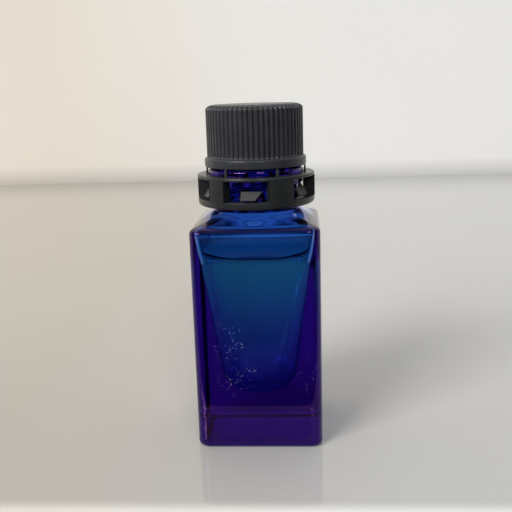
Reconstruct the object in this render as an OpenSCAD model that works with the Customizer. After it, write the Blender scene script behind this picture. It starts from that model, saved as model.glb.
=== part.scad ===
// Small square thick-walled glass bottle for perfume oil, with a GL18 neck, a dropper insert,
// a ribbed screw cap and a windowed tamper-evident ring. Millimetres, +Z up, base on z = 0.

/* [Glass] */
// Width of the square body
body_w = 26.4; // [24:0.1:32]
// Height where the side walls start to round into the shoulder
wall_h = 46.2; // [36:0.1:60]
// Plan radius of the vertical edges
edge_r = 2.4; // [2:0.1:6]
// Thickness of the heavy base
base_t = 9.6; // [4:0.2:14]
// Width of the hollow at its top
hollow_top_w = 23.2; // [18:0.1:24]
// Width of the hollow near its bottom
hollow_low_w = 15; // [12:0.2:22]
// Level of the oil above the base
oil_level = 40.2; // [15:0.1:44]

/* [Neck] */
// Radius of the neck below the bead
neck_r = 8.8; // [8.5:0.05:9]
// Radius of the transfer bead
bead_r = 9.85; // [9.5:0.05:10]
// Radius of the neck core under the thread
core_r = 7.9; // [7.7:0.05:8.1]
// Outer radius of the glass thread
thread_r = 8.75; // [8.6:0.05:8.9]
// Thread pitch of the GL18 standard
pitch = 3; // [3:0.5:4]
// Radius of the neck bore
bore_r = 5; // [4.5:0.1:5.5]
// Height of the glass rim
rim_z = 68.1; // [60:0.1:75]

/* [Cap] */
// Radius over the ribs
rib_r = 10.1; // [9.8:0.05:11]
// Depth of the ribs
rib_depth = 0.35; // [0.2:0.05:0.5]
// Number of ribs
rib_count = 60; // [40:2:72]
// Radius of the skirt flange
flange_r = 10.65; // [10.3:0.05:11.5]
// Height of the cap's lower edge
cap_z = 58.5; // [55:0.1:62]
// Height of the cap's top
top_z = 71.1; // [65:0.1:78]
// Radius inside the cap
cap_bore_r = 9; // [8.9:0.05:9.2]

/* [Tamper ring] */
// Outer radius of the ring
ring_r = 12.3; // [12:0.05:13]
// Inner radius of the ring
ring_in_r = 10.1; // [10:0.05:10.4]
// Lower edge of the ring
ring_z = 50.5; // [49.8:0.1:52]
// Upper edge of the ring
ring_top = 57; // [56:0.1:58]
// Angular width of a window
window_deg = 43.7; // [30:0.1:48]
// Angle of the first breakaway bridge
bridge_deg = 28; // [0:1:59]
// Inward lean of the catch flaps
flap_lean = 32; // [20:1:40]

/* [Hidden] */
$fn = 96;
half_w = body_w / 2;
sill_z = ring_z + 1.6;
lintel_z = ring_top - 0.7;
window_deg_list = [-68.5, -7, 62.5, 120, 177, 234];
flap_t = 0.45;
flap_root_r = 10.95;
flap_root_z = sill_z + 0.05 + flap_t / 2;
liner_t = 0.7;
insert_flange_t = 0.9;
cap_roof_z = rim_z + insert_flange_t + liner_t + 0.1;
thread_z = 61;
thread_turns = 1.5;
cap_thread_r = 8.2;

// Stack of thin coaxial discs [z, r], hulled by the caller
module corner_stack(levels) {
    for (l = levels)
        translate([0, 0, l[0]])
            cylinder(r = l[1], h = 0.01, $fn = 32);
}

// The same thing at the four corners of a square
module four_corners(offset_w) {
    for (x = [-1, 1], y = [-1, 1])
        translate([x * offset_w, y * offset_w, 0])
            children();
}

module body_hull() {
    hull() {
        four_corners(half_w - edge_r)
            corner_stack([[0, edge_r - 1.2], [0.4, edge_r - 0.5], [1.2, edge_r], [wall_h, edge_r],
                          [wall_h + 0.4, edge_r - 0.15], [wall_h + 0.7, edge_r - 0.45],
                          [wall_h + 0.87, edge_r - 0.82]]);
        translate([0, 0, 49])
            cylinder(r = 9.6, h = 0.01, $fn = 48);
    }
}

module hollow_hull(gap) {
    hull() {
        four_corners(hollow_low_w / 2 - 4.5)
            corner_stack([[base_t + gap, 1], [base_t + 0.8, 2.4 - gap], [base_t + 2.4, 3.6 - gap],
                          [base_t + 5.4, 4.5 - gap]]);
        four_corners(hollow_top_w / 2 - 1.2)
            corner_stack([[wall_h - 0.4, 1.2 - gap], [wall_h + 0.4, 0.9 - gap]]);
        translate([0, 0, 48.1])
            cylinder(r = 8, h = 0.01, $fn = 32);
    }
}

// Helical ridge with a trapezium section, r_root to r_crest, rising right-handed
module thread_ridge(r_root, r_crest, root_w, crest_w, z0, turns, start_deg) {
    seg = 24;
    n = floor(seg * turns);
    function fade(i) = min(1, min(i, n - i) / 3);
    pts = [for (i = [0:n])
               let (a = start_deg + 360 * i / seg,
                    z = z0 + pitch * i / seg,
                    rc = r_root + (r_crest - r_root) * max(0.03, fade(i)))
               each [[r_root * cos(a), r_root * sin(a), z - root_w / 2],
                     [rc * cos(a), rc * sin(a), z - crest_w / 2],
                     [rc * cos(a), rc * sin(a), z + crest_w / 2],
                     [r_root * cos(a), r_root * sin(a), z + root_w / 2]]];
    inward = r_crest < r_root;
    sides = [for (i = [0:n - 1], k = [0:3])
                 let (a = 4 * i + k, b = 4 * i + (k + 1) % 4)
                 inward ? [a, a + 4, b + 4, b] : [a, b, b + 4, a + 4]];
    first = inward ? [0, 1, 2, 3] : [3, 2, 1, 0];
    last = inward ? [4 * n + 3, 4 * n + 2, 4 * n + 1, 4 * n] : [4 * n, 4 * n + 1, 4 * n + 2, 4 * n + 3];
    polyhedron(points = pts, faces = concat([first, last], sides), convexity = 6);
}

module glass_bottle() {
    color([0.05, 0.12, 0.62, 0.6])
    difference() {
        union() {
            body_hull();
            translate([0, 0, 48.5])
                cylinder(r = neck_r, h = 8);
            rotate_extrude()
                polygon([[0, 54.7], [9.3, 54.7], [bead_r, 55.3], [bead_r, 57.5], [9.3, 58.2], [0, 58.2]]);
            translate([0, 0, 58])
                cylinder(r = core_r, h = rim_z - 58.4);
            translate([0, 0, rim_z - 0.5])
                cylinder(r1 = core_r, r2 = core_r - 0.4, h = 0.5);
            thread_ridge(core_r - 0.3, thread_r, 2, 0.7, thread_z + 1, thread_turns, 20);
        }
        hollow_hull(0);
        rotate_extrude()
            polygon([[0, 46], [8, 46], [8, 48.1], [6.8, 49.6], [6.3, 52], [bore_r, 56.5], [bore_r, 75], [0, 75]]);
    }
}

module perfume_oil() {
    color([0.8, 0.75, 0.3, 0.5])
    intersection() {
        hollow_hull(0.03);
        cylinder(r = 40, h = oil_level);
    }
}

module dropper_insert() {
    color([0.93, 0.93, 0.9])
    difference() {
        union() {
            translate([0, 0, rim_z])
                cylinder(r = 7.3, h = insert_flange_t);
            translate([0, 0, rim_z - 8])
                cylinder(r = bore_r - 0.1, h = 8.2);
            translate([0, 0, rim_z - 2.4])
                cylinder(r = bore_r + 0.02, h = 0.8);
            translate([0, 0, rim_z - 5.4])
                cylinder(r = bore_r + 0.02, h = 0.8);
        }
        translate([0, 0, rim_z - 9])
            difference() {
                cylinder(r = bore_r - 0.9, h = 8);
                cylinder(r = 1.4, h = 9);
            }
        translate([0, 0, rim_z - 9])
            cylinder(r = 0.6, h = 12);
        translate([2.9, 0, rim_z - 2])
            cylinder(r = 0.4, h = 4);
    }
}

module cap_liner() {
    color([0.85, 0.85, 0.82])
    translate([0, 0, rim_z + insert_flange_t + 0.03])
        cylinder(r = cap_bore_r - 0.45, h = liner_t);
}

module ribbed_outline() {
    step = 360 / rib_count;
    root_r = rib_r - rib_depth;
    polygon([for (i = [0:rib_count - 1], p = [[-0.42, root_r], [-0.22, rib_r], [0.22, rib_r], [0.42, root_r]])
                 [p[1] * cos(step * (i + p[0])), p[1] * sin(step * (i + p[0]))]]);
}

module cap_shell() {
    color([0.05, 0.05, 0.055])
    union() {
        difference() {
            union() {
                intersection() {
                    translate([0, 0, cap_z + 1])
                        linear_extrude(height = top_z - cap_z - 1)
                            ribbed_outline();
                    union() {
                        cylinder(r = 12, h = top_z - 0.45);
                        translate([0, 0, top_z - 0.45])
                            cylinder(r1 = rib_r + 0.05, r2 = rib_r - 0.4, h = 0.45);
                    }
                }
                translate([0, 0, cap_z])
                    cylinder(r1 = flange_r - 0.1, r2 = flange_r, h = 0.15);
                translate([0, 0, cap_z + 0.15])
                    cylinder(r = flange_r, h = 1.35);
                translate([0, 0, cap_z + 1.5])
                    cylinder(r1 = flange_r, r2 = flange_r - 0.3, h = 0.25);
            }
            translate([0, 0, cap_z - 1])
                cylinder(r = cap_bore_r, h = cap_roof_z - cap_z + 1);
        }
        thread_ridge(cap_bore_r + 0.3, cap_thread_r, 1.6, 0.5, thread_z - 0.1, thread_turns, 20);
    }
}

module tamper_ring() {
    color([0.05, 0.05, 0.055])
    difference() {
        rotate_extrude()
            polygon([[ring_in_r, ring_z], [11.3, ring_z], [ring_r - 0.3, ring_z + 0.5], [ring_r, ring_z + 1.2],
                     [ring_r, ring_top - 0.4], [ring_r - 0.4, ring_top], [ring_in_r, ring_top]]);
        for (a = window_deg_list)
            rotate([0, 0, a - 90 - window_deg / 2])
                rotate_extrude(angle = window_deg)
                    translate([ring_in_r - 1, sill_z])
                        square([ring_r - ring_in_r + 2, lintel_z - sill_z]);
    }
}

module bridge_pins() {
    color([0.06, 0.06, 0.065])
    for (i = [0:5])
        rotate([0, 0, bridge_deg + 60 * i])
            translate([-0.4, -10.5, ring_top - 0.1])
                cube([0.8, 0.35, cap_z - ring_top + 0.07]);
}

// Leaf on the sill of one window: a round root and a slanting plate that leans in under the bead
module catch_flap(i) {
    color([0.3, 0.3, 0.31])
    rotate([0, 0, window_deg_list[i]])
        translate([0, -flap_root_r, flap_root_z])
            rotate([-flap_lean, 0, 0])
                union() {
                    translate([-1.3, 0, 0])
                        rotate([0, 90, 0])
                            cylinder(r = flap_t / 2, h = 3);
                    translate([0, flap_t / 2, 0])
                        rotate([90, 0, 0])
                            linear_extrude(height = flap_t)
                                polygon([[-1.3, 0], [1.7, 0], [3.1, 2.05], [-1.3, 2.05]]);
                }
}

glass_bottle();
perfume_oil();
dropper_insert();
cap_liner();
cap_shell();
tamper_ring();
bridge_pins();
catch_flap(0);  // catch_flap_1
catch_flap(1);  // catch_flap_2
catch_flap(2);  // catch_flap_3
catch_flap(3);  // catch_flap_4
catch_flap(4);  // catch_flap_5
catch_flap(5);  // catch_flap_6
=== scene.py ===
import math

import bpy
import numpy as np
from mathutils import Matrix, Vector


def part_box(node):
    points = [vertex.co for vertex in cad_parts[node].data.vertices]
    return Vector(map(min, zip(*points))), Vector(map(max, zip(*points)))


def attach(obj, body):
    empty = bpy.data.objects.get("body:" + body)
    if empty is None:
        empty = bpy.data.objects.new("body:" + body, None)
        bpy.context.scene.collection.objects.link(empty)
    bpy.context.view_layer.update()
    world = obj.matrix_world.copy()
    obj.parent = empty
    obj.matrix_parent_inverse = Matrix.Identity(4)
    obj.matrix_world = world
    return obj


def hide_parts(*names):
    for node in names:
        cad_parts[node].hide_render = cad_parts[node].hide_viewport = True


MM = 0.001
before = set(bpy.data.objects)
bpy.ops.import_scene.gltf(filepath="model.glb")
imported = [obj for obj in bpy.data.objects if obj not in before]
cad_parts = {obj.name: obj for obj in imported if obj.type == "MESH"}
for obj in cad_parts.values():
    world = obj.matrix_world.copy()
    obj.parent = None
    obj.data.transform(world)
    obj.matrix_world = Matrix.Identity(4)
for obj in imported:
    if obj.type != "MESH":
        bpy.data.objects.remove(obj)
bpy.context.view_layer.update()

# ---------------------------------------------------------------- sizes from the frame, in metres
glass_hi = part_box("glass_bottle")[1]
cap_lo, cap_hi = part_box("cap_shell")
ring_lo, ring_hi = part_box("tamper_ring")
liner_lo, liner_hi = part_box("cap_liner")
HALF, RIM_Z = glass_hi[0], glass_hi[2]
OIL_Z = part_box("perfume_oil")[1][2]
INSERT_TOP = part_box("dropper_insert")[1][2]
PINS_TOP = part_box("bridge_pins")[1][2]
CAP_Z, TOP_Z = cap_lo[2], cap_hi[2]
FLANGE_R = cap_hi[0]
RING_R = ring_hi[0]
RING_Z, RING_TOP = ring_lo[2], ring_hi[2]
FLAPS = sum(name.startswith("catch_flap_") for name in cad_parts)

# ---------------------------------------------------------------- sizes repeated from the CAD, in metres
RIB_R = FLANGE_R - 0.55 * MM
RIB_DEPTH = 0.36 * MM
RIBS = 60
CAP_BORE = 9.0 * MM
NECK_R = 8.8 * MM
BEAD_R = 9.85 * MM
CORE_R = 7.9 * MM
CREST_R = 8.75 * MM
BORE_R = 5.0 * MM
PITCH = 3.0 * MM
THREAD_Z = 61.0 * MM
THREAD_TURNS = 1.5
THREAD_START = 20.0
# Part of a turn over which the thread rises at its start and fades at its end
THREAD_RUN_OUT = 0.125
RING_IN = 10.1 * MM
SILL_Z = RING_Z + 1.6 * MM
LINTEL_Z = RING_TOP - 0.7 * MM
WINDOWS = (-68.5, -7.0, 62.5, 120.0, 177.0, 234.0)
WINDOW_DEG = 43.7
PINS = 6
FIRST_PIN_DEG = 28
PIN_RING_R = 10.35 * MM
FLAP_T = 0.45 * MM
FLAP_ROOT_R = 10.95 * MM
FLAP_ROOT_Z = SILL_Z + 0.05 * MM + FLAP_T / 2
FLAP_LEAN = 32.0

# ---------------------------------------------------------------- glass and oil, in millimetres
EDGE_R = 2.4
BASE_FILLET = 1.2
WALL_FOOT, WALL_TOP = 2.0, 44.4
WALL_SINK = 0.05
SLOPE_R, SLOPE_Z = 9.7, 49.0
# Underside, from its middle outwards: half width, corner radius, height
PUNT = ((2, 1.8, 0.5), (6, 3, 0.45), (9, 3.4, 0.3), (10.4, 2.6, 0.06), (11.4, 2.0, 0.0))
# Rounded edge where wall meets shoulder: inset from the wall, height
SHOULDER_EDGE = ((0, 45.9), (0.02, 46.2), (0.08, 46.42), (0.2, 46.62), (0.38, 46.8), (0.6, 46.95),
                 (0.82, 47.07))
# Hollow from its floor up: height, half width, corner radius
HOLLOW = (
    (9.6, 1.8, 1.7), (9.9, 3.3, 3.0), (10.4, 4.7, 4.0), (11.2, 5.9, 4.7), (12.4, 7.0, 5.1),
    (14, 7.8, 5.2), (16, 8.2, 5.2), (18, 8.5, 5.1), (22, 9.0, 4.6), (26.5, 9.45, 3.9),
    (30, 9.9, 3.3), (34, 10.4, 2.6), (38, 10.9, 1.8), (42, 11.4, 1.0), (45.8, 11.75, 0.7),
    (46.2, 11.7, 0.7), (46.5, 11.5, 0.8), (46.75, 11.1, 1.1), (46.95, 10.6, 1.5))
HOLLOW_LEVELS = (9.6, 9.9, 10.4, 11.2, 12.4, *range(14, 26, 2), 26.5, *range(28, 46, 2),
                 45.8, 46.0, 46.2, 46.35, 46.5, 46.62, 46.75, 46.85, 46.95)
OIL_FLOOR_TOP = 10
OIL_WALL_TOP = 39.6
OIL_OVERLAP = 0.03
# Oil's surface from the wall inwards: inset, rise of its rim, further rise in the front corners
MENISCUS = ((0.0, 0.8, 2.0), (0.12, 0.6, 1.95), (0.35, 0.34, 1.8), (0.75, 0.1, 1.5), (1.2, 0.0, 1.2),
            (2.0, 0.0, 0.75), (3.5, 0.0, 0.3), (5.5, 0.0, 0.05), (8.0, 0.0, 0.0))

# ---------------------------------------------------------------- looks and stage
SCUFF_PATCHES = ((-5.5, 23.5), (-4.0, 15.5), (11.5, 15.5))
SCUFF_RADIUS = 6.0 * MM
SHELF_FRONT = -33.2 * MM
SHELF_LIP = 6.0 * MM
WALL_Y = 0.442
STAGE_HALF = 2.0
WHITE = (1.0, 1.0, 1.0)


# ---------------------------------------------------------------- mesh helpers
def new_mesh(name, verts, faces):
    mesh = bpy.data.meshes.new(name)
    mesh.from_pydata([tuple(v) for v in verts], [], faces)
    mesh.update()
    mesh.polygons.foreach_set("use_smooth", [True] * len(mesh.polygons))
    obj = bpy.data.objects.new(name, mesh)
    bpy.context.scene.collection.objects.link(obj)
    return obj


def soft_edges(obj, width, segments, angle):
    """Bevel on the edges that turn by more than the angle, in degrees."""
    bevel = obj.modifiers.new("soft_edges", "BEVEL")
    bevel.width = width
    bevel.segments = segments
    bevel.limit_method = "ANGLE"
    bevel.angle_limit = math.radians(angle)
    bevel.harden_normals = True


def smoothstep(t):
    t = np.clip(t, 0.0, 1.0)
    return t * t * (3 - 2 * t)


def rounded_square(theta, half, corner):
    """Radius of a rounded square's outline in each direction."""
    c, s = np.abs(np.cos(theta)), np.abs(np.sin(theta))
    a = half - corner
    flat = half / np.maximum(c, s)
    arc = a * (c + s) + np.sqrt(np.maximum(corner**2 - (a * (c - s)) ** 2, 0))
    return np.where(flat * np.minimum(c, s) <= a, flat, arc)


def surface(name, rings, loop=False):
    """Skin over closed rings of points, either a loop of rings or closed by a point at each end."""
    n, m = len(rings[0]), len(rings)
    verts = np.concatenate(rings)
    faces = []
    for j in range(m if loop else m - 1):
        a, b = j * n, ((j + 1) % m) * n
        for i in range(n):
            k = (i + 1) % n
            faces.append((a + i, a + k, b + k, b + i))
    if not loop:
        first, last = len(verts), len(verts) + 1
        b = (m - 1) * n
        faces += [((i + 1) % n, i, first) for i in range(n)]
        faces += [(b + i, b + (i + 1) % n, last) for i in range(n)]
        verts = np.concatenate([verts, [rings[0].mean(axis=0), rings[-1].mean(axis=0)]])
    return new_mesh(name, verts, faces)


def ring_points(theta, radius, z):
    r = np.broadcast_to(radius, theta.shape)
    h = np.broadcast_to(z, theta.shape)
    return np.stack([r * np.cos(theta), r * np.sin(theta), h], axis=-1)


def square_ring(theta, half, corner, z):
    return ring_points(theta, rounded_square(theta, half * MM, corner * MM), z * MM)


def rounded_profile(points, segments):
    """Polyline through (r, z, fillet) corners, with each corner rounded by its fillet."""
    longest = 0.49
    out = []
    for i, (r, z, f) in enumerate(points):
        p = np.array([r, z])
        if f <= 0 or i in (0, len(points) - 1):
            out.append(p)
            continue
        to_last, to_next = np.array(points[i - 1][:2]) - p, np.array(points[i + 1][:2]) - p
        reach_last, reach_next = np.linalg.norm(to_last), np.linalg.norm(to_next)
        ua, ub = to_last / reach_last, to_next / reach_next
        half_angle = math.acos(max(-1.0, min(1.0, float(ua @ ub)))) / 2
        d = min(f / math.tan(half_angle), longest * reach_last, longest * reach_next)
        start, end = p + ua * d, p + ub * d
        for t in np.linspace(0, 1, segments + 1):
            out.append((1 - t) ** 2 * start + 2 * t * (1 - t) * p + t**2 * end)
    return out


def turned_rings(theta, points, segments):
    """Rings of a turned surface, from (r, z, fillet) corners in millimetres."""
    return [ring_points(theta, r * MM, z * MM) for r, z in rounded_profile(points, segments)]


def lathe(name, points, closed=False):
    theta = np.linspace(0, 2 * math.pi, 96, endpoint=False)
    return surface(name, turned_rings(theta, points, 3), loop=closed)


def thread_height(theta, z, z0, root_w, crest_w):
    """0 to 1: how far the helical ridge stands out at each direction and height."""
    turn = np.mod(theta - math.radians(THREAD_START), 2 * math.pi) / (2 * math.pi)
    best = np.zeros_like(turn)
    for k in range(int(THREAD_TURNS) + 1):
        along = turn + k
        off = np.abs(z - (z0 + PITCH * along))
        side = np.clip((root_w / 2 - off) / ((root_w - crest_w) / 2), 0, 1)
        run_out = np.clip(np.minimum(along, THREAD_TURNS - along) / THREAD_RUN_OUT, 0, 1)
        best = np.maximum(best, smoothstep(side) * smoothstep(run_out) * (along <= THREAD_TURNS))
    return best


# ---------------------------------------------------------------- material helpers
def material(name):
    mat = bpy.data.materials.new(name)
    mat.use_nodes = True
    nt = mat.node_tree
    bsdf = nt.nodes["Principled BSDF"]
    return mat, nt, bsdf


def node(nt, kind, **values):
    """New node; each value goes to the input of that name, or else to the node's own setting."""
    n = nt.nodes.new(kind)
    for key, value in values.items():
        if key in n.inputs.keys():
            n.inputs[key].default_value = value
        else:
            setattr(n, key, value)
    return n


def object_coords(nt):
    return nt.nodes.new("ShaderNodeTexCoord").outputs["Object"]


def noise(nt, vector, scale, detail=3.0, roughness=0.5):
    n = node(nt, "ShaderNodeTexNoise", Scale=scale, Detail=detail, Roughness=roughness)
    nt.links.new(vector, n.inputs["Vector"])
    return n.outputs["Fac"]


def cells(nt, vector, scale):
    n = node(nt, "ShaderNodeTexVoronoi", Scale=scale)
    nt.links.new(vector, n.inputs["Vector"])
    return n.outputs["Distance"]


def remap(nt, value, lo, hi, out_lo, out_hi):
    m = nt.nodes.new("ShaderNodeMapRange")
    nt.links.new(value, m.inputs["Value"])
    for key, v in (("From Min", lo), ("From Max", hi), ("To Min", out_lo), ("To Max", out_hi)):
        m.inputs[key].default_value = v
    return m.outputs["Result"]


def colour_ramp(nt, value, stops):
    ramp = nt.nodes.new("ShaderNodeValToRGB")
    cr = ramp.color_ramp
    while len(cr.elements) < len(stops):
        cr.elements.new(0.5)
    for e, (pos, col) in zip(cr.elements, stops):
        e.position = pos
        e.color = (*col, 1)
    nt.links.new(value, ramp.inputs["Fac"])
    return ramp.outputs["Color"]


def ramp_along(nt, value, stops):
    """Colour ramp whose stops are given as the value itself, such as a height, and not as fractions."""
    start, end = stops[0][0], stops[-1][0]
    fractions = [((at - start) / (end - start), colour) for at, colour in stops]
    return colour_ramp(nt, remap(nt, value, start, end, 0.0, 1.0), fractions)


def bump(nt, height, strength, distance, normal=None):
    b = node(nt, "ShaderNodeBump", Strength=strength, Distance=distance)
    nt.links.new(height, b.inputs["Height"])
    if normal is not None:
        nt.links.new(normal, b.inputs["Normal"])
    return b.outputs["Normal"]


def maths(nt, operation, *values):
    m = node(nt, "ShaderNodeMath", operation=operation)
    for socket, value in zip(m.inputs, values):
        nt.links.new(value, socket)
    return m.outputs[0]


def mixed(nt, blend_type, colour, shade, factor=None):
    """Colour mixed with a shade, which is a colour or an output, by the factor or in full."""
    m = node(nt, "ShaderNodeMix", data_type="RGBA", blend_type=blend_type)
    factor_in, colour_in, shade_in = m.inputs[0], m.inputs[6], m.inputs[7]
    nt.links.new(colour, colour_in)
    if isinstance(shade, tuple):
        shade_in.default_value = (*shade, 1)
    else:
        nt.links.new(shade, shade_in)
    factor_in.default_value = 1.0
    if factor is not None:
        nt.links.new(factor, factor_in)
    return m.outputs[2]


def axis_value(nt, vector, axis):
    sep = nt.nodes.new("ShaderNodeSeparateXYZ")
    nt.links.new(vector, sep.inputs[0])
    return sep.outputs[axis]


def near_point(nt, vector, centre, radius):
    """1 close to a point, falling to 0 at the radius."""
    d = node(nt, "ShaderNodeVectorMath", operation="DISTANCE")
    nt.links.new(vector, d.inputs[0])
    d.inputs[1].default_value = centre
    return remap(nt, d.outputs["Value"], radius, 0.45 * radius, 0.0, 1.0)


def absorption(nt, colour, density):
    """Light lost inside the material."""
    absorb = node(nt, "ShaderNodeVolumeAbsorption", Color=(*colour, 1), Density=density)
    nt.links.new(absorb.outputs["Volume"], nt.nodes["Material Output"].inputs["Volume"])


# ---------------------------------------------------------------- materials
def scuff_mask(nt, v):
    """Thin broken scratches in the worn patches of the front face, and a few specks low down."""
    ridge = maths(nt, "ABSOLUTE", remap(nt, noise(nt, v, 300.0, 4.0), 0.0, 1.0, -0.5, 0.5))
    line = remap(nt, ridge, 0.0, 0.010, 1.0, 0.0)
    line = maths(nt, "MULTIPLY", line, remap(nt, noise(nt, v, 2600.0, 2.0), 0.5, 0.60, 0.0, 1.0))
    patches = [near_point(nt, v, (x * MM, -HALF, z * MM), SCUFF_RADIUS) for x, z in SCUFF_PATCHES]
    worn = maths(nt, "MAXIMUM", maths(nt, "MAXIMUM", patches[0], patches[1]), patches[2])
    dots = remap(nt, cells(nt, v, 520.0), 0.02, 0.04, 1.0, 0.0)
    dots = maths(nt, "MULTIPLY", dots, remap(nt, axis_value(nt, v, "Z"), 24 * MM, 30 * MM, 1.0, 0.0))
    dots = maths(nt, "MULTIPLY", dots, remap(nt, noise(nt, v, 120.0, 1.0), 0.5, 0.56, 0.0, 1.0))
    return maths(nt, "MAXIMUM", maths(nt, "MULTIPLY", line, worn), dots)


def glass_colour_with_painted_light(nt, z):
    """Glass colour with light and shade painted in by height: painted shade low down, painted light at the
    headspace, painted shade on the shoulder's edge, and dark painted shade on the neck under the ring and
    cap.
    """
    plain, light, edge = (0.125, 0.52, 0.97), (0.30, 0.58, 1.0), (0.10, 0.28, 0.62)
    # light is painted light over the headspace, edge is painted shade along the shoulder's rounded edge, and
    # the last stop is painted shade on the neck under the ring and cap.
    painted_light_by_height = ramp_along(nt, z, [
        (44.0 * MM, plain), (44.6 * MM, light), (45.6 * MM, light), (46.1 * MM, edge), (46.6 * MM, edge),
        (47.2 * MM, (0.14, 0.37, 0.80)), (51.2 * MM, (0.17, 0.40, 0.82)), (52.0 * MM, (0.06, 0.14, 0.50))])
    # Painted shade: darker and more violet low down.
    painted_low_shade = ramp_along(nt, z, [(11 * MM, (1.0, 0.48, 0.93)), (31 * MM, WHITE)])
    return mixed(nt, "MULTIPLY", painted_light_by_height, painted_low_shade)


def glass_material():
    """Dark blue glass with light and shade painted into its colour by height: smooth walls, a stippled foot,
    and scuffs that are paler, rougher and less clear.
    """
    mat, nt, bsdf = material("cobalt_glass")
    v = object_coords(nt)
    z = axis_value(nt, v, "Z")
    scuffs = scuff_mask(nt, v)
    colour = mixed(nt, "MIX", glass_colour_with_painted_light(nt, z), (0.75, 0.80, 0.92), scuffs)
    nt.links.new(colour, bsdf.inputs["Base Color"])
    stipple = remap(nt, z, 1.4 * MM, 2.4 * MM, 0.45, 0.055)
    rough = maths(nt, "MAXIMUM", stipple, remap(nt, scuffs, 0.0, 1.0, 0.0, 0.5))
    nt.links.new(rough, bsdf.inputs["Roughness"])
    nt.links.new(remap(nt, scuffs, 0.0, 1.0, 1.0, 0.72), bsdf.inputs["Transmission Weight"])
    bsdf.inputs["IOR"].default_value = 1.52
    bsdf.inputs["Specular Tint"].default_value = (0.75, 0.3, 1.0, 1)
    nt.links.new(bump(nt, noise(nt, v, 110.0, 2.0, 0.4), 0.12, 0.0006), bsdf.inputs["Normal"])
    absorption(nt, (0.625, 0.05, 0.725), 200.0)
    return mat


def oil_material():
    mat, nt, bsdf = material("pale_oil")
    bsdf.inputs["Base Color"].default_value = (0.98, 0.97, 0.84, 1)
    bsdf.inputs["Roughness"].default_value = 0.0
    bsdf.inputs["IOR"].default_value = 1.51
    bsdf.inputs["Transmission Weight"].default_value = 1.0
    absorption(nt, (0.97, 0.93, 0.35), 45.0)
    return mat


def black_plastic_material(name, tone, rough):
    """Moulded plastic: mottled tone and gloss over a fine grain."""
    mat, nt, bsdf = material(name)
    v = object_coords(nt)
    darker, lighter = [c * 0.8 for c in tone], [c * 1.25 for c in tone]
    colour = colour_ramp(nt, noise(nt, v, 260.0, 4.0, 0.6), [(0.3, darker), (0.7, lighter)])
    nt.links.new(colour, bsdf.inputs["Base Color"])
    gloss = remap(nt, noise(nt, v, 700.0, 3.0), 0.3, 0.7, rough - 0.05, rough + 0.07)
    nt.links.new(gloss, bsdf.inputs["Roughness"])
    bsdf.inputs["IOR"].default_value = 1.49
    grain = bump(nt, noise(nt, v, 5200.0, 2.0), 0.10, 0.00005)
    nt.links.new(bump(nt, noise(nt, v, 420.0, 3.0), 0.10, 0.0002, grain), bsdf.inputs["Normal"])
    return mat


def soft_plastic_material():
    mat, nt, bsdf = material("natural_ldpe")
    v = object_coords(nt)
    colour = colour_ramp(nt, noise(nt, v, 300.0), [(0.3, (0.80, 0.80, 0.77)), (0.7, (0.88, 0.88, 0.86))])
    nt.links.new(colour, bsdf.inputs["Base Color"])
    bsdf.inputs["Roughness"].default_value = 0.32
    bsdf.inputs["Subsurface Weight"].default_value = 0.3
    bsdf.inputs["Subsurface Scale"].default_value = 0.001
    nt.links.new(bump(nt, noise(nt, v, 1800.0), 0.08, 0.0001), bsdf.inputs["Normal"])
    return mat


def foam_material():
    mat, nt, bsdf = material("liner_foam")
    pores_with_painted_shade = cells(nt, object_coords(nt), 3200.0)
    # Painted shade: the pits of the pores are coloured darker.
    colour = colour_ramp(nt, pores_with_painted_shade, [(0.0, (0.70, 0.70, 0.68)), (0.6, (0.86, 0.86, 0.84))])
    nt.links.new(colour, bsdf.inputs["Base Color"])
    bsdf.inputs["Roughness"].default_value = 0.8
    nt.links.new(bump(nt, pores_with_painted_shade, 0.35, 0.0001), bsdf.inputs["Normal"])
    return mat


def stage_material(name, colour, rough, spec, light_and_shade_gradients):
    """Pale surface whose colour is multiplied by ramps of painted light and shade along its own axes: (axis,
    from, to, first, last).
    """
    mat, nt, bsdf = material(name)
    v = object_coords(nt)
    darker, lighter = [c * 0.97 for c in colour], [min(1, c * 1.03) for c in colour]
    shaded = colour_ramp(nt, noise(nt, v, 2.5, 3.0), [(0.3, darker), (0.7, lighter)])
    for axis, start, end, first, last in light_and_shade_gradients:
        shade = ramp_along(nt, axis_value(nt, v, axis), [(start, first), (end, last)])
        shaded = mixed(nt, "MULTIPLY", shaded, shade)
    nt.links.new(shaded, bsdf.inputs["Base Color"])
    bsdf.inputs["Roughness"].default_value = rough
    bsdf.inputs["Specular IOR Level"].default_value = spec
    return mat


# ---------------------------------------------------------------- glass bottle and oil
def dense_corners(count):
    """Directions round the bottle, closer together at the vertical edges."""
    t = np.linspace(0, 2 * math.pi, count, endpoint=False)
    return t + 0.17 * np.sin(4 * t)


def hollow_section(z):
    """Half width and corner radius of the hollow at height z, in metres."""
    heights, halves, corners = np.array(HOLLOW).T * MM
    return np.interp(z, heights, halves), np.interp(z, heights, corners)


def base_rings(theta, half):
    """Hollowed underside and the fillet round the foot."""
    rings = [square_ring(theta, *level) for level in PUNT]
    steps = 9
    for k in range(steps + 1):
        a = k / steps * math.pi / 2
        inset, rise = BASE_FILLET * (1 - math.sin(a)), BASE_FILLET * (1 - math.cos(a))
        rings.append(square_ring(theta, half - inset, EDGE_R - 0.7 * inset, rise))
    return rings


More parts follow.
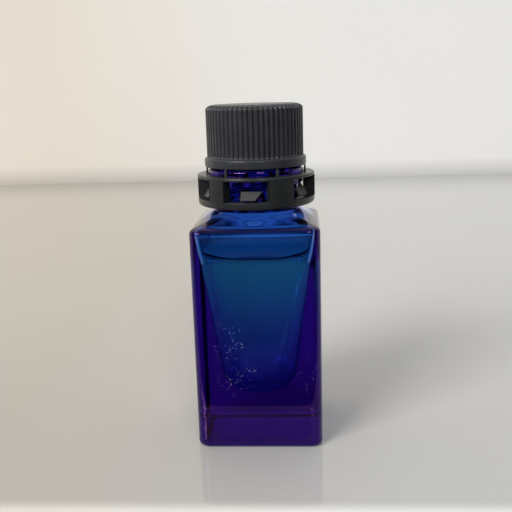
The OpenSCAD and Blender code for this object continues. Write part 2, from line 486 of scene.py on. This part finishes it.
def wall_rings(theta, half):
    """Four faces, very slightly sunk in their middles, the shoulder's edge, and its slope up to the neck."""
    rings = []
    flat = smoothstep((np.maximum(np.abs(np.cos(theta)), np.abs(np.sin(theta))) - 0.80) / 0.2)
    for z in np.linspace(WALL_FOOT, WALL_TOP, 26):
        sink = WALL_SINK * MM * math.sin(math.pi * (z - WALL_FOOT) / (WALL_TOP - WALL_FOOT))
        rings.append(ring_points(theta, rounded_square(theta, HALF, EDGE_R * MM) - sink * flat, z * MM))
    for inset, z in SHOULDER_EDGE:
        rings.append(square_ring(theta, half - inset, EDGE_R - 0.25 * inset, z))
    inset, edge_z = SHOULDER_EDGE[-1]
    edge = rounded_square(theta, HALF - inset * MM, (EDGE_R - 0.2) * MM)
    for t in np.linspace(0.08, 0.92, 12):
        z = edge_z + (SLOPE_Z - edge_z) * t
        rings.append(ring_points(theta, edge * (1 - t) + SLOPE_R * MM * t, z * MM))
    return rings


def neck_rings(theta):
    """Neck with its transfer bead and thread, over the rim and down the bore to the hollow's roof."""
    neck, bead, core, bore, top = NECK_R / MM, BEAD_R / MM, CORE_R / MM, BORE_R / MM, RIM_Z / MM
    rings = turned_rings(theta, [
        (9.72, SLOPE_Z, 0), (neck, 49.6, 0.9), (neck, 54.6, 0.3), (bead, 54.85, 0.45), (bead, 58.1, 0.6),
        (core, 58.4, 0.4), (core, 59.6, 0)], 6)
    for z in np.arange(59.8 * MM, RIM_Z - 0.7 * MM, 0.16 * MM):
        ridge = thread_height(theta, z, THREAD_Z + 1.0 * MM, 2.0 * MM, 0.7 * MM)
        rings.append(ring_points(theta, CORE_R + (CREST_R - CORE_R) * ridge, z))
    rings += turned_rings(theta, [
        (core, top - 0.6, 0), (core, top, 0.4), (bore, top, 0.35), (bore, 56.5, 3.0), (6.3, 52.0, 2.0),
        (6.8, 49.7, 1.2), (8.2, 48.3, 1.0), (9.9, 47.45, 0)], 7)
    return rings


def make_glass():
    theta = dense_corners(320)
    half = HALF / MM
    rings = base_rings(theta, half) + wall_rings(theta, half) + neck_rings(theta)
    for z in reversed(HOLLOW_LEVELS):
        rings.append(ring_points(theta, rounded_square(theta, *hollow_section(z * MM)), z * MM))
    obj = surface("glass_bottle_blown", rings)
    obj.data.materials.append(glass_material())
    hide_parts("glass_bottle")
    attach(obj, "bottle")


def make_oil():
    """Oil that overlaps the glass by a hair, with its surface raised along the front wall and corners."""
    theta = dense_corners(240)
    grow = OIL_OVERLAP * MM
    rings = []
    for z in [level for level in HOLLOW_LEVELS if level < OIL_WALL_TOP] + [OIL_WALL_TOP]:
        half, corner = hollow_section(z * MM)
        down = grow if z < OIL_FLOOR_TOP else 0
        rings.append(ring_points(theta, rounded_square(theta, half + grow, corner), z * MM - down))
    half, corner = hollow_section(OIL_Z)
    wall = rounded_square(theta, half + grow, corner)
    across, along = np.abs(np.cos(theta)), np.abs(np.sin(theta))
    facing = 0.12 + 0.88 * smoothstep(0.15 - np.sin(theta))
    corner_pull = facing * (np.minimum(across, along) / np.maximum(across, along)) ** 3
    for inset, lift, climb in MENISCUS:
        rise = lift * facing - 0.1 + climb * corner_pull
        rings.append(ring_points(theta, wall - inset * MM, OIL_Z + rise * MM))
    obj = surface("perfume_oil_fill", rings)
    obj.data.materials.append(oil_material())
    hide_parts("perfume_oil")
    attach(obj, "bottle")


# ---------------------------------------------------------------- cap
def rib_radius(theta, depth):
    wave = 0.5 + 0.5 * np.cos(RIBS * theta)
    return RIB_R - depth * (1 - smoothstep(wave * 1.15))


def cap_outside(theta):
    """Top face, its soft edge with the rib ends, the ribbed wall and the flange, round to the thread."""
    rings = [ring_points(theta, r * MM, TOP_Z) for r in (2.0, 4.5, 7.0)]
    edge_in, edge_down = 1.9 * MM, 1.0 * MM
    steps = 10
    for k in range(steps + 1):
        a = k / steps * math.pi / 2
        depth = RIB_DEPTH * smoothstep((k - 1) / 3)
        r = rib_radius(theta, depth) - edge_in * (1 - math.sin(a))
        rings.append(ring_points(theta, r, TOP_Z - edge_down * (1 - math.cos(a))))
    rib_foot = CAP_Z + 1.95 * MM
    for z in np.linspace(TOP_Z - edge_down - 0.4 * MM, rib_foot + 0.4 * MM, 12):
        rings.append(ring_points(theta, rib_radius(theta, RIB_DEPTH), z))
    rings.append(ring_points(theta, rib_radius(theta, RIB_DEPTH * 0.9), rib_foot + 0.15 * MM))
    rings.append(ring_points(theta, rib_radius(theta, RIB_DEPTH * 0.3) + 0.03 * MM, rib_foot))
    foot, bore, flange = CAP_Z / MM, CAP_BORE / MM, FLANGE_R / MM
    rings += turned_rings(theta, [
        (RIB_R / MM + 0.1, rib_foot / MM, 0), (flange, foot + 1.75, 0.35), (flange, foot, 0.28),
        (bore + 0.25, foot, 0.1), (bore, foot + 0.35, 0.2), (bore, THREAD_Z / MM - 1.2, 0)], 5)
    return rings


def cap_inside(theta):
    """Internal thread, then the wall and roof above it."""
    rings = []
    for z in np.arange(THREAD_Z - 1.1 * MM, THREAD_Z + 6.0 * MM, 0.2 * MM):
        ridge = thread_height(theta, z, THREAD_Z - 0.1 * MM, 1.6 * MM, 0.5 * MM)
        rings.append(ring_points(theta, CAP_BORE - 0.8 * MM * ridge, z))
    bore, roof = CAP_BORE / MM, liner_hi[2] / MM + 0.05
    rings += turned_rings(theta, [(bore, roof - 1.5, 0), (bore, roof, 0.5), (2.0, roof, 0)], 5)
    return rings


def make_cap(plastic):
    theta = np.linspace(0, 2 * math.pi, RIBS * 14, endpoint=False)
    obj = surface("screw_cap", cap_outside(theta) + cap_inside(theta))
    obj.data.materials.append(plastic)
    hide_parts("cap_shell")
    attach(obj, "cap")


# ---------------------------------------------------------------- tamper ring, pins and flaps
def in_window(a, b):
    """Whether the middle of the arc from a to b lies in a window, in degrees."""
    mid = (a + ((b - a) % 360) / 2) % 360
    return any(abs((mid - w + 180) % 360 - 180) < WINDOW_DEG / 2 for w in WINDOWS)


def ring_angles():
    """Directions round the ring in degrees, with one on every window's side."""
    edges = sorted({round((w + s * WINDOW_DEG / 2) % 360, 4) for w in WINDOWS for s in (-1, 1)})
    angles = []
    for a, b in zip(edges, edges[1:] + edges[:1]):
        span = (b - a) % 360
        steps = max(4, round(span / 1.5))
        angles += [(a + span * k / steps) % 360 for k in range(steps)]
    return angles


def make_ring(plastic):
    """Band with windows: one cross-section swept round, opened between sill and lintel at each window."""
    bottom, top = RING_Z / MM + 0.1, RING_TOP / MM - 0.02
    sill, lintel = SILL_Z / MM, LINTEL_Z / MM
    outer, inner = RING_R / MM, RING_IN / MM
    low = rounded_profile(
        [(inner, sill, 0), (inner, bottom, 0.25), (outer, bottom, 1.15), (outer, sill, 0)], 7)
    up = rounded_profile(
        [(outer, lintel, 0), (outer, top, 0.95), (inner, top, 0.2), (inner, lintel, 0)], 6)
    section = low + up
    per_section = len(section)
    sill_in, sill_out, lintel_out, lintel_in = 0, len(low) - 1, len(low), per_section - 1
    angles = ring_angles()
    n = len(angles)
    verts = []
    for a in angles:
        t = math.radians(a - 90)
        verts += [(r * MM * math.cos(t), r * MM * math.sin(t), z * MM) for r, z in section]
    is_open = [in_window(angles[i], angles[(i + 1) % n]) for i in range(n)]
    faces = []
    for i in range(n):
        a, b = i * per_section, ((i + 1) % n) * per_section
        for j in range(per_section):
            k = (j + 1) % per_section
            if is_open[i] and j in (sill_out, lintel_in):
                continue
            faces.append((a + j, b + j, b + k, a + k))
        if is_open[i]:
            faces.append((a + sill_out, b + sill_out, b + sill_in, a + sill_in))
            faces.append((a + lintel_in, b + lintel_in, b + lintel_out, a + lintel_out))
        if is_open[i] != is_open[i - 1]:
            side = (a + sill_in, a + sill_out, a + lintel_out, a + lintel_in)
            faces.append(side if is_open[i] else side[::-1])
    obj = new_mesh("tamper_evident_ring", verts, faces)
    soft_edges(obj, 0.11 * MM, 2, 50)
    obj.data.materials.append(plastic)
    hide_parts("tamper_ring")
    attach(obj, "ring")


def make_pins(plastic):
    """Breakaway bridges: slim oval posts, narrowed towards the cap where they tear."""
    foot, top = RING_TOP - 0.1 * MM, PINS_TOP
    # height, width round the ring, depth across it
    levels = ((foot, 0.9, 0.5), (foot + 0.35 * MM, 0.7, 0.44), (top - 0.5 * MM, 0.6, 0.4),
              (top - 0.15 * MM, 0.46, 0.32), (top, 0.4, 0.28))
    sides = 12
    verts, faces = [], []
    for i in range(PINS):
        t = math.radians(FIRST_PIN_DEG + 360 / PINS * i - 90)
        outwards = np.array([math.cos(t), math.sin(t)])
        sideways = np.array([-math.sin(t), math.cos(t)])
        base = len(verts)
        for z, width, depth in levels:
            for k in range(sides):
                a = 2 * math.pi * k / sides
                out, side = PIN_RING_R + depth / 2 * MM * math.cos(a), width / 2 * MM * math.sin(a)
                p = out * outwards + side * sideways
                verts.append((p[0], p[1], z))
        for level in range(len(levels) - 1):
            a, b = base + level * sides, base + (level + 1) * sides
            faces += [(a + k, a + (k + 1) % sides, b + (k + 1) % sides, b + k) for k in range(sides)]
        last = base + (len(levels) - 1) * sides
        faces.append(tuple(base + k for k in reversed(range(sides))))
        faces.append(tuple(last + k for k in range(sides)))
    obj = new_mesh("breakaway_bridges", verts, faces)
    obj.data.materials.append(plastic)
    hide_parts("bridge_pins")
    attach(obj, "ring")


def make_flap(index, plastic):
    """Leaf on the window sill that leans in under the bead, wider and thinner at its free edge."""
    outline = ((-1.3, 0.0), (1.7, 0.0), (3.1, 2.05), (-1.3, 2.05))
    half = FLAP_T / MM / 2
    verts = [(x, side * half * (0.85 if up else 1.0), up) for side in (-1, 1) for x, up in outline]
    faces = [(0, 1, 2, 3), (7, 6, 5, 4), (0, 4, 5, 1), (1, 5, 6, 2), (2, 6, 7, 3), (3, 7, 4, 0)]
    lean = Matrix.Rotation(-math.radians(FLAP_LEAN), 4, "X")
    root = Matrix.Translation((0, -FLAP_ROOT_R / MM, FLAP_ROOT_Z / MM))
    place = Matrix.Rotation(math.radians(WINDOWS[index]), 4, "Z") @ root @ lean
    obj = new_mesh(f"catch_leaf_{index + 1}", [(place @ Vector(v)) * MM for v in verts], faces)
    soft_edges(obj, 0.09 * MM, 3, 30)
    obj.data.materials.append(plastic)
    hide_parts(f"catch_flap_{index + 1}")
    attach(obj, f"flap_{index + 1}")


# ---------------------------------------------------------------- parts inside the cap
def make_insert():
    """Orifice reducer: flange with a raised sealing lip, plug with two beads, and the dropper tube in it."""
    top, rim, r = INSERT_TOP / MM, RIM_Z / MM, BORE_R / MM
    lip = [(0.6, top - 1.2, 0), (0.6, top - 0.15, 0.1), (0.9, top, 0.1), (2.2, top, 0.15)]
    flange = [(2.6, top - 0.35, 0.15), (6.2, top - 0.35, 0.15), (6.5, top, 0.15), (7.3, top, 0.2),
              (7.3, rim + 0.02, 0.15), (r - 0.1, rim + 0.02, 0.1)]
    plug = [(r - 0.1, rim - 1.5, 0.1), (r - 0.02, rim - 2.0, 0.2), (r - 0.1, rim - 2.5, 0.1),
            (r - 0.1, rim - 4.5, 0.1), (r - 0.02, rim - 5.0, 0.2), (r - 0.1, rim - 5.5, 0.1),
            (r - 0.3, rim - 8.0, 0.2), (r - 0.9, rim - 8.0, 0.15), (r - 0.9, rim - 1.0, 0.3)]
    tube = [(1.4, rim - 1.0, 0.3), (1.4, rim - 8.0, 0.1), (0.6, rim - 8.0, 0.1)]
    obj = lathe("dropper_insert_moulded", lip + flange + plug + tube, closed=True)
    obj.data.materials.append(soft_plastic_material())
    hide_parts("dropper_insert")
    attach(obj, "bottle")


def make_liner():
    """Foam disc, with a faint step where it presses on the insert."""
    r, z0, z1 = liner_hi[0] / MM, liner_lo[2] / MM, liner_hi[2] / MM
    obj = lathe("cap_liner_disc", [(1.0, z0 + 0.06, 0), (4.5, z0 + 0.06, 0), (5.0, z0, 0.1), (r, z0, 0.12),
                                   (r, z1, 0.12), (1.0, z1, 0)])
    obj.data.materials.append(foam_material())
    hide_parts("cap_liner")
    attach(obj, "liner")


# ---------------------------------------------------------------- stage, light, camera
def grey(level):
    return (level, level, level)


def make_stage():
    """Glossy pale shelf with a rounded front edge, and a pale wall well behind it, both with light and shade
    painted into their colour.
    """
    bend = [k / 12 * math.pi / 2 for k in range(13)]
    profile = [(WALL_Y, 0.0), (0.1, 0.0)]
    profile += [(SHELF_FRONT - SHELF_LIP * math.sin(a), -SHELF_LIP * (1 - math.cos(a))) for a in bend]
    profile.append((SHELF_FRONT - SHELF_LIP, -30 * MM))
    verts = [(x, y, z) for y, z in profile for x in (-STAGE_HALF, STAGE_HALF)]
    faces = [(2 * i, 2 * i + 2, 2 * i + 3, 2 * i + 1) for i in range(len(profile) - 1)]
    shelf = new_mesh("shelf", verts, faces)
    shelf.data.materials.append(stage_material("shelf_white", (0.93, 0.92, 0.895), 0.06, 0.5, [
        # Painted shade: warmer and darker towards the left.
        ("X", -0.06, 0.03, (0.885, 0.83, 0.76), WHITE),
        # Painted shade: a little darker towards the front.
        ("Y", 0.0, 0.09, grey(0.92), WHITE),
        # Painted shade: darker where the shelf meets the wall.
        ("Y", WALL_Y - 0.06, WALL_Y, WHITE, grey(0.88)),
        # Painted light: the top is dulled so that the rounded front edge stands out brighter.
        ("Z", -0.0006, 0.0, WHITE, grey(0.69))]))
    left, right, high = -STAGE_HALF, STAGE_HALF, STAGE_HALF
    corners = [(left, WALL_Y, 0), (right, WALL_Y, 0), (right, WALL_Y, high), (left, WALL_Y, high)]
    wall = new_mesh("back_wall", corners, [(0, 1, 2, 3)])
    wall.data.materials.append(stage_material("wall_white", (0.925, 0.915, 0.89), 0.7, 0.2, [
        # Painted shade: warmer and darker towards the left.
        ("X", -0.19, -0.02, (0.93, 0.87, 0.80), WHITE),
        # Painted shadow: darker along the foot of the wall.
        ("Z", 0.0, 0.014, grey(0.68), WHITE)]))


def area_light(name, location, target, size, power, colour):
    data = bpy.data.lights.new(name, "AREA")
    data.shape = "RECTANGLE"
    data.size, data.size_y = size
    data.energy = power
    data.color = colour
    obj = bpy.data.objects.new(name, data)
    obj.location = location
    direction = Vector(target) - Vector(location)
    obj.rotation_euler = direction.to_track_quat("-Z", "Y").to_euler()
    bpy.context.scene.collection.objects.link(obj)


def from_azimuth(azimuth, elevation, distance):
    """Point seen from the bottle at an azimuth (0 = front, + = right) and elevation in degrees."""
    a, e = math.radians(azimuth), math.radians(elevation)
    level = distance * math.cos(e)
    return (level * math.sin(a), -level * math.cos(a), distance * math.sin(e))


def make_world():
    """Room light: bright overhead and behind, dark low down in front."""
    world = bpy.data.worlds.new("soft_room")
    world.use_nodes = True
    nt = world.node_tree
    coord = nt.nodes.new("ShaderNodeTexCoord")
    weigh = node(nt, "ShaderNodeVectorMath", operation="DOT_PRODUCT")
    weigh.inputs[1].default_value = (-0.1, 0.72, 0.68)
    nt.links.new(coord.outputs["Generated"], weigh.inputs[0])
    level = remap(nt, weigh.outputs["Value"], -0.42, 0.85, 0.01, 0.5)
    bg = nt.nodes["Background"]
    bg.inputs["Color"].default_value = (0.88, 0.94, 1.0, 1)
    nt.links.new(level, bg.inputs["Strength"])
    bpy.context.scene.world = world


def make_lights():
    """Two windows above the viewer, the larger one on the left."""
    aim = (0, 0.1, 0.03)
    area_light("window_left", from_azimuth(-40, 32, 2.4), aim, (1.1, 1.1), 46.0, (1.0, 0.985, 0.96))
    area_light("window_right", from_azimuth(15, 30, 2.4), aim, (0.6, 0.9), 14.0, (0.97, 0.985, 1.0))


def make_camera():
    """Eye a little above the cap, 155.1 mm from the bottle's axis."""
    yaw, pitch, pan, roll = (math.radians(angle) for angle in (3.513, 13.05, -0.19, -1.756))
    eye = Vector((155.1 * math.sin(yaw), -155.1 * math.cos(yaw), 74.64)) * MM
    forward = Vector((math.sin(pan) * math.cos(pitch), math.cos(pan) * math.cos(pitch), -math.sin(pitch)))
    level_right = Vector((math.cos(pan), -math.sin(pan), 0))
    level_up = level_right.cross(forward)
    right = math.cos(roll) * level_right + math.sin(roll) * level_up
    up = -math.sin(roll) * level_right + math.cos(roll) * level_up
    basis = Matrix.Rotation(yaw, 3, "Z") @ Matrix((right, up, -forward)).transposed()
    data = bpy.data.cameras.new("camera")
    data.sensor_width = 36.0
    data.lens = 51.5672
    data.clip_start = 0.005
    cam = bpy.data.objects.new("camera", data)
    cam.matrix_world = Matrix.Translation(eye) @ basis.to_4x4()
    bpy.context.scene.collection.objects.link(cam)
    bpy.context.scene.camera = cam


make_camera()
make_stage()
make_world()
make_lights()
make_glass()
make_oil()
make_cap(black_plastic_material("black_pp_cap", (0.034, 0.036, 0.042), 0.33))
# Painted shade: the ring and its bridges get the cap's black plastic in a darker tone.
ring_plastic_painted_shade = black_plastic_material("black_pp_ring_painted_shade", (0.025, 0.027, 0.028), 0.30)
make_ring(ring_plastic_painted_shade)
make_pins(ring_plastic_painted_shade)
flap_plastic = black_plastic_material("black_pp_leaf", (0.032, 0.033, 0.036), 0.42)
for flap in range(FLAPS):
    make_flap(flap, flap_plastic)
make_insert()
make_liner()

cycles = bpy.context.scene.cycles
cycles.max_bounces = 24
cycles.transmission_bounces = 24
cycles.glossy_bounces = 8
cycles.transparent_max_bounces = 16
bpy.context.scene.view_settings.view_transform = "Standard"
